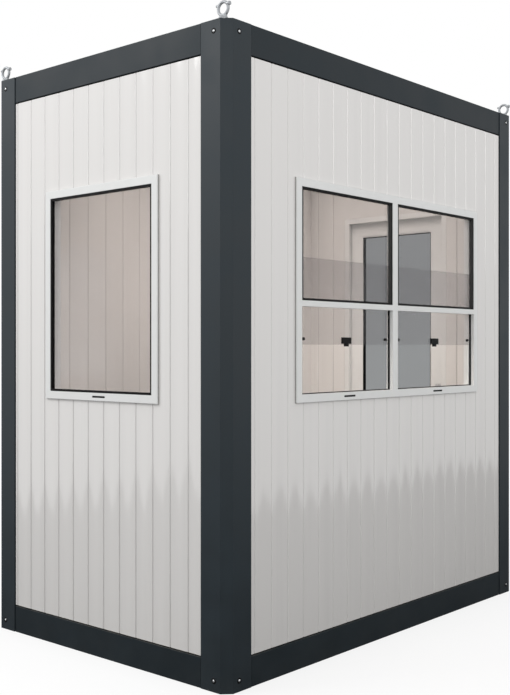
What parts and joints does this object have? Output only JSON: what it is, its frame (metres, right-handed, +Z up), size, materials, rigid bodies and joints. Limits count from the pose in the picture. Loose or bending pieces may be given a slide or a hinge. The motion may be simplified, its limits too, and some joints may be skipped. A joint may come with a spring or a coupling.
{
  "type": "security guard booth",
  "caption": "Steel-framed guard booth with grooved sandwich walls, a side window, a service window with lifting sashes, a glazed door and lifting eyes.",
  "frame": {"origin": "on the ground, in the middle between the four corner posts", "axes": "+X along the long walls towards the door wall, +Y from the service window wall to the back wall, +Z up"},
  "size_m": [2.346, 1.505, 2.6729],
  "materials": {
    "frame_steel": "dark grey powder coat, satin",
    "panel_white": "pale grey-white coil coating, satin",
    "window_white": "white moulded profile, satin",
    "glass": "clear float glass",
    "rubber": "black gasket rubber",
    "zinc": "bright zinc plate",
    "floor": "grey vinyl on board",
    "joist_steel": "dark grey primer"
  },
  "bodies": {
    "booth": {"post_front_left": "frame_steel", "post_front_right": "frame_steel", "post_back_left": "frame_steel", "post_back_right": "frame_steel", "base_beam_front": "frame_steel", "base_beam_back": "frame_steel", "base_beam_left": "frame_steel", "base_beam_right": "frame_steel", "roof_beam_front": "frame_steel", "roof_beam_back": "frame_steel", "roof_beam_left": "frame_steel", "roof_beam_right": "frame_steel", "lifting_eye_front_left": "zinc", "lifting_eye_front_right": "zinc", "lifting_eye_back_left": "zinc", "lifting_eye_back_right": "zinc", "floor_joists": "joist_steel", "floor_deck": "floor", "ceiling_board": "panel_white", "roof_panel": "panel_white", "front_wall": "panel_white", "back_wall": "panel_white", "left_wall": "panel_white", "door_wall_front": "panel_white", "door_wall_back": "panel_white", "door_wall_over": "panel_white", "wall_seals": "rubber", "corner_casings": "panel_white", "side_window_frame": "window_white", "side_window_gasket": "rubber", "side_window_pane": "glass", "front_window_frame": "window_white", "front_window_gasket": "rubber", "front_window_panes": "glass", "sash_left": "glass", "sash_right": "glass", "sash_fittings": "rubber", "door_jamb_hinge": "window_white", "door_jamb_lock": "window_white", "door_head": "window_white", "door_threshold": "zinc", "hinge_pins": "zinc"},
    "door": {"door_leaf": "window_white", "door_gasket": "rubber", "door_pane": "glass", "door_handles": "zinc", "hinge_leaves": "zinc"}
  },
  "joints": [
    {"name": "door_hinge", "type": "hinge", "parent": "booth", "child": "door", "pos_m": [1.168, 0.3335, 1.119], "axis": [0, 0, 1], "range_deg": [0, 100]}
  ]
}
